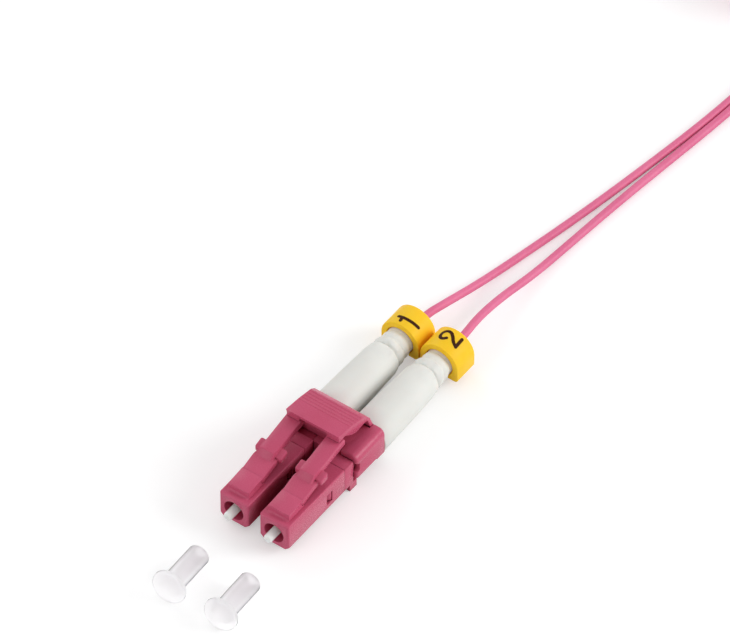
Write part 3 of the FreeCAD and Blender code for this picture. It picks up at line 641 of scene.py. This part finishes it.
def smooth_through(points):
    """More points on a smooth curve through the given ones."""
    ends = [points[0]] + list(points) + [points[-1]]
    made = []
    for a, b, c, d in zip(ends, ends[1:], ends[2:], ends[3:]):
        for k in range(STROKE_CURVE_STEPS):
            t = k / STROKE_CURVE_STEPS
            made.append(tuple(
                0.5 * (2 * q + (r - p) * t + (2 * p - 5 * q + 4 * r - s) * t ** 2
                       + (3 * q - p - 3 * r + s) * t ** 3)
                for p, q, r, s in zip(a, b, c, d)))
    return made + [points[-1]]


def stroke_outline(path, width):
    """Left and right edges of a pen stroke along a path, with round ends."""
    pairs = []
    last = len(path) - 1
    for k, (x, y) in enumerate(path):
        before, after = path[max(k - 1, 0)], path[min(k + 1, last)]
        along = Vector((after[0] - before[0], after[1] - before[1])).normalized()
        side = Vector((-along.y, along.x))
        steps = [(0.0, 1.0)]
        if k in (0, last):
            turn = [math.pi / 2 * s / STROKE_CAP_STEPS for s in range(STROKE_CAP_STEPS)]
            steps = [(math.cos(t), math.sin(t)) for t in turn][1:] + [(0.0, 1.0)]
            if k == last:
                steps = steps[::-1]
        for ahead, wide in steps:
            out = -ahead if k == 0 else ahead
            centre = Vector((x, y)) + along * (out * width / 2)
            pairs.append((centre + side * (wide * width / 2), centre - side * (wide * width / 2)))
    return pairs


def printed_stroke(name, ring, path):
    """A thin printed stroke that follows the ring's round top. The path is in mm, seen from above."""
    x_axis = CHANNEL_X[ring]
    unrolled = [(RING_OUTER * math.asin((x * MM - x_axis) / RING_OUTER), y * MM) for x, y in path]
    pairs = stroke_outline(unrolled, STROKE_WIDTH)
    vertices = []
    for radius in (RING_OUTER + STROKE_PROUD, RING_OUTER - STROKE_SUNK):
        for pair in pairs:
            for u, y in pair:
                angle = u / RING_OUTER
                vertices.append((x_axis + radius * math.sin(angle), y, radius * math.cos(angle)))
    count = len(pairs)
    under = 2 * count
    faces = []
    for k in range(count - 1):
        a = 2 * k
        faces += [(a, a + 1, a + 3, a + 2), (under + a, under + a + 2, under + a + 3, under + a + 1),
                  (a, a + 2, under + a + 2, under + a), (a + 1, under + a + 1, under + a + 3, a + 3)]
    z = 2 * (count - 1)
    faces += [(0, under, under + 1, 1), (z, z + 1, under + z + 1, under + z)]
    obj = mesh_object(name, vertices, faces)
    modifier(obj, "EDGE_SPLIT", split_angle=SHARP_ANGLE)
    obj.data.materials.append(MATERIALS["print_ink"])
    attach(obj, ROOT)


def dust_cap(i):
    """A push-on cap: a tube with a wider, closed head, on the mount of its bore."""
    mount = MOUNTS[f"cap_{i}_bore"]
    axis = Vector(mount["axis"])
    bore = mount["dims"]["r_mm"] * MM
    depth = mount["dims"]["length_mm"] * MM
    end = CAP_TUBE_LENGTH + CAP_HEAD_LENGTH
    profile = [(0.0, bore), (0.0, CAP_TUBE_RADIUS), (-CAP_TUBE_LENGTH, CAP_TUBE_RADIUS),
               (-CAP_TUBE_LENGTH, CAP_HEAD_RADIUS), (-end + CAP_HEAD_CHAMFER, CAP_HEAD_RADIUS),
               (-end, CAP_HEAD_RADIUS - CAP_HEAD_CHAMFER), (-end, CAP_END_RING), (-end, AXIS_GAP),
               (-depth, AXIS_GAP), (-depth, bore)]
    obj = turned(f"push_cap_{i}", profile, ROUND_SEGMENTS)
    share = obj.data.attributes.new(HEAD_SHARE, "FLOAT", "POINT")
    for vertex in obj.data.vertices:
        share.data[vertex.index].value = 1.0 if vertex.co.y < -CAP_TUBE_LENGTH + CAP_EDGE else 0.0
    modifier(obj, "BEVEL", width=CAP_EDGE, segments=CAP_EDGE_SEGMENTS, limit_method="ANGLE",
             angle_limit=CAP_EDGE_ANGLE)
    modifier(obj, "EDGE_SPLIT", split_angle=CAP_SPLIT_ANGLE)
    obj.data.transform(Matrix.Translation(mount["pos_m"]) @ axis.to_track_quat("Y", "Z").to_matrix().to_4x4())
    finish_piece(obj, "cap_plastic", ROOT, f"dust_cap_{i}")


def ferrule(i):
    """The ceramic ferrule, with a rounded tip and the fibre's bore."""
    low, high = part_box(f"ferrule_{i}")
    radius = (high.x - low.x) / 2
    length = high.y - low.y
    profile = [(length, FIBRE_RADIUS), (length, radius)]
    for k in range(FERRULE_TIP_STEPS + 1):
        angle = math.pi / 2 * k / FERRULE_TIP_STEPS
        profile.append((FERRULE_TIP_LENGTH * (1 - math.sin(angle)),
                        radius - FERRULE_TIP_ROUND * (1 - math.cos(angle))))
    profile.append((0.0, FIBRE_RADIUS))
    obj = turned(f"polished_ferrule_{i}", profile, ROUND_SEGMENTS)
    modifier(obj, "EDGE_SPLIT", split_angle=TURNED_SPLIT_ANGLE)
    obj.location = (CHANNEL_X[i], low.y, 0)
    finish_piece(obj, "ferrule_ceramic", f"ferrule_set_{i}", f"ferrule_{i}")


# ---------------------------------------------------------------- cord
def eased(angle, span):
    """0 before the span of degrees, 1 after it, and smooth between."""
    t = min(max((angle - span[0]) / (span[1] - span[0]), 0.0), 1.0)
    return t * t * (3 - 2 * t)


def coil_points(leg):
    """Control points of one leg's turns, in mm. Both legs wind side by side, up, down and up again,
    from the outer band in."""
    outer = COIL_PITCH * (2 * COIL_BANDS - 0.5) + COIL_HOLE_RADIUS
    half_step = math.pi / COIL_TURN_POINTS
    points = []
    for turn in range(COIL_BANDS * COIL_ROWS):
        band, step = divmod(turn, COIL_ROWS)
        climbing = band % 2 == 0
        row = step if climbing else COIL_ROWS - 1 - step
        changes_band = step == COIL_ROWS - 1
        for k in range(COIL_TURN_POINTS):
            angle = (2 * k + 1) * half_step
            degrees = math.degrees(angle)
            moved_in = eased(degrees, COIL_BAND_STEP) if changes_band and band < COIL_BANDS - 1 else 0.0
            climbed = 0.0 if changes_band else eased(degrees, COIL_ROW_STEP)
            height = row + (climbed if climbing else -climbed)
            radius = outer - COIL_PITCH * (2 * (band + moved_in) + (1 if leg == 1 else 0))
            reach = radius / math.cos(half_step)
            points.append((COIL_CENTRE[0] + reach * math.cos(angle), COIL_CENTRE[1] + reach * math.sin(angle),
                           COIL_ROW_Z + height * COIL_PITCH))
    return points


def cord(leg, route, replaced):
    """One leg of cord, from inside its boot to its end in the coil."""
    points = list(route) + coil_points(leg)
    curve = bpy.data.curves.new(f"cord_{leg}", "CURVE")
    curve.dimensions = "3D"
    curve.bevel_depth = CORD_DIAMETER / 2
    curve.bevel_resolution = CORD_ROUND_RESOLUTION
    curve.resolution_u = CORD_SMOOTH_RESOLUTION
    curve.use_fill_caps = True
    spline = curve.splines.new("NURBS")
    spline.points.add(len(points) - 1)
    for target, (x, y, z) in zip(spline.points, points):
        target.co = (x * MM, y * MM, z * MM, 1)
    spline.order_u = CORD_CURVE_ORDER
    spline.use_endpoint_u = True
    obj = bpy.data.objects.new(f"cord_{leg}", curve)
    bpy.context.scene.collection.objects.link(obj)
    paint(obj, "cord_jacket")
    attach(obj, ROOT)
    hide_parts(*replaced)


# ---------------------------------------------------------------- stage
def sun(name, direction, level):
    """A far softbox. A level of 1 lights a white surface that faces it to full white."""
    light = bpy.data.lights.new(name, "SUN")
    light.energy = level * math.pi
    light.angle = SOFTBOX_ANGLE
    obj = bpy.data.objects.new(name, light)
    obj.rotation_mode = "QUATERNION"
    obj.rotation_quaternion = Vector(direction).to_track_quat("Z", "Y")
    bpy.context.scene.collection.objects.link(obj)


def world():
    """White behind everything, while it lights the pieces only at the ambient level."""
    made = bpy.data.worlds.new("studio")
    made.use_nodes = True
    tree = made.node_tree
    background = tree.nodes["Background"]
    background.inputs["Color"].default_value = WHITE
    total = add(tree, "ShaderNodeMath", operation="ADD")
    total.inputs[1].default_value = AMBIENT_LEVEL
    tree.links.new(seen_directly(tree, 1.0 - AMBIENT_LEVEL), total.inputs[0])
    tree.links.new(total.outputs[0], background.inputs["Strength"])
    bpy.context.scene.world = made


def floor():
    half = FLOOR_SIZE / 2
    corners = [(-half, -half, FLOOR_Z), (half, -half, FLOOR_Z), (half, half, FLOOR_Z), (-half, half, FLOOR_Z)]
    obj = mesh_object("floor", corners, [(0, 1, 2, 3)])
    obj.data.materials.append(floor_material())


def camera():
    """The camera of the main view, aimed by its azimuth and elevation."""
    sin_a, cos_a = math.sin(CAMERA_AZIMUTH), math.cos(CAMERA_AZIMUTH)
    sin_e, cos_e = math.sin(CAMERA_ELEVATION), math.cos(CAMERA_ELEVATION)
    back = Vector((sin_a * cos_e, -cos_a * cos_e, sin_e))
    right = Vector((cos_a, sin_a, 0))
    up = Vector((-sin_a * sin_e, cos_a * sin_e, cos_e))
    data = bpy.data.cameras.new("camera")
    data.sensor_width = SENSOR
    data.lens = SENSOR * CAMERA_DISTANCE / VIEW_WIDTH
    data.clip_start, data.clip_end = CAMERA_CLIP
    obj = bpy.data.objects.new("camera", data)
    axes = Matrix((right, up, back)).transposed().to_4x4()
    place = right * VIEW_CENTRE[0] + up * VIEW_CENTRE[1] + back * CAMERA_DISTANCE
    obj.matrix_world = Matrix.Translation(place) @ axes
    bpy.context.scene.collection.objects.link(obj)
    bpy.context.scene.camera = obj


carried_over_nodes()
for number in (1, 2):
    boot(number)
    number_ring(number)
    dust_cap(number)
    ferrule(number)
    ferrule_spring(number)
for name, ring, through in NUMERAL_STROKES:
    printed_stroke(name, ring, smooth_through(through))
cord(1, LEG_1_ROUTE, ("cord_leg_1", "cord_coil"))
cord(2, LEG_2_ROUTE, ("cord_leg_2",))
sun("key_softbox", KEY_DIRECTION, KEY_LEVEL)
sun("side_softbox", SIDE_DIRECTION, SIDE_LEVEL)
sun("front_softbox", FRONT_DIRECTION, FRONT_LEVEL)
world()
floor()
camera()
bpy.context.scene.view_settings.view_transform = "Standard"
